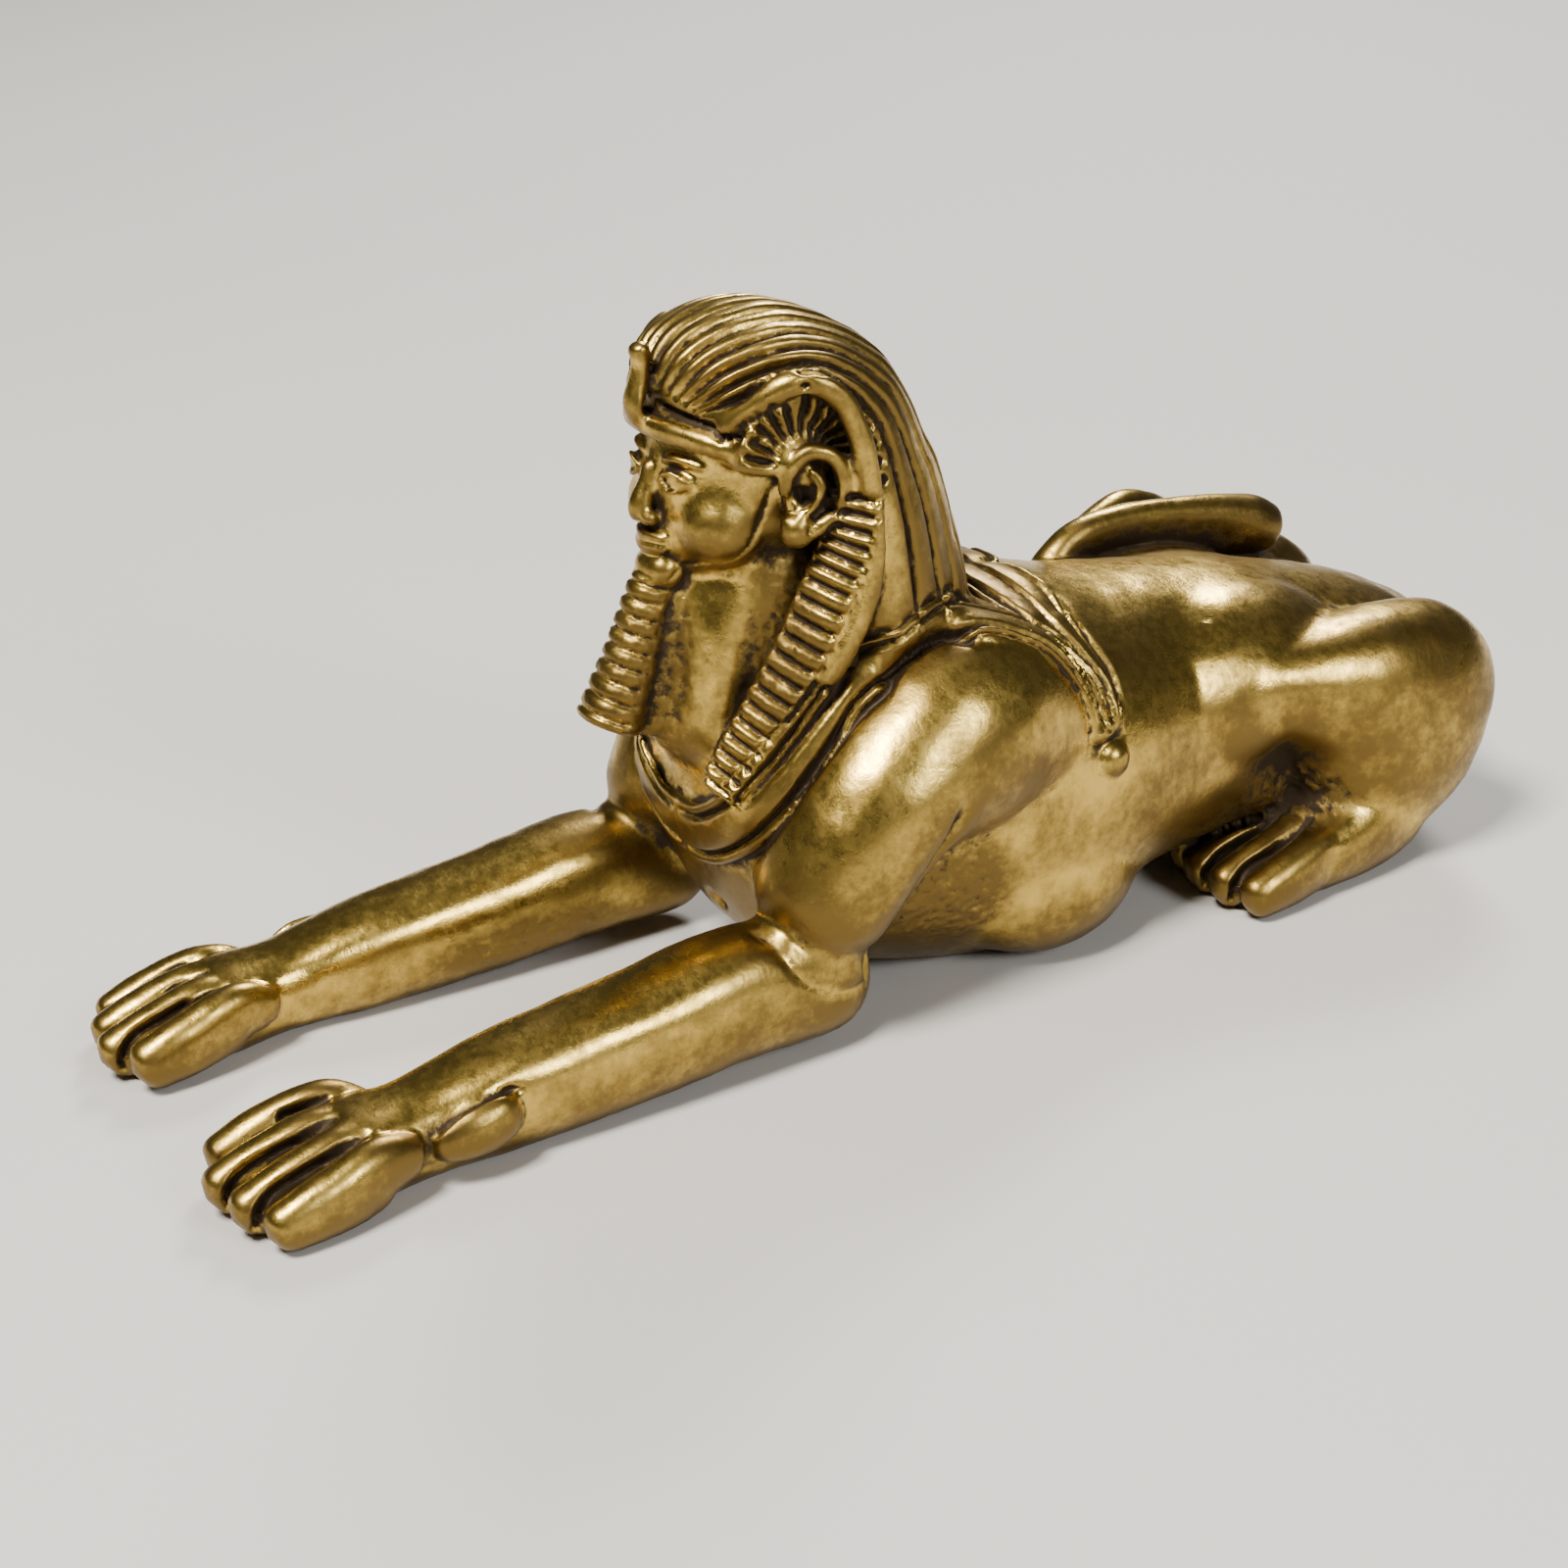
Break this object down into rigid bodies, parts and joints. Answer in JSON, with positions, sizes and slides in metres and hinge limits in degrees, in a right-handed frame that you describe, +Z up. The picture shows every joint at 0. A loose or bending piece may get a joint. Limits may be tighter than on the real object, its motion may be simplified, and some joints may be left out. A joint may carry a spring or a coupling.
{
  "type": "sphinx statue",
  "caption": "Small solid brass casting of a lying sphinx: lion's body, human head in a striped headcloth with a ribbed beard; it rests on its flat underside.",
  "frame": {"origin": "under the middle of the whole figure, on the flat underside", "axes": "-Y the way the sphinx faces, +X its left side, +Z up"},
  "size_m": [0.0248, 0.0786, 0.0358],
  "materials": {
    "brass": "polished on the high forms, with dark brown patina in the hollows"
  },
  "bodies": {
    "root": {"sphinx": "brass"}
  },
  "joints": []
}
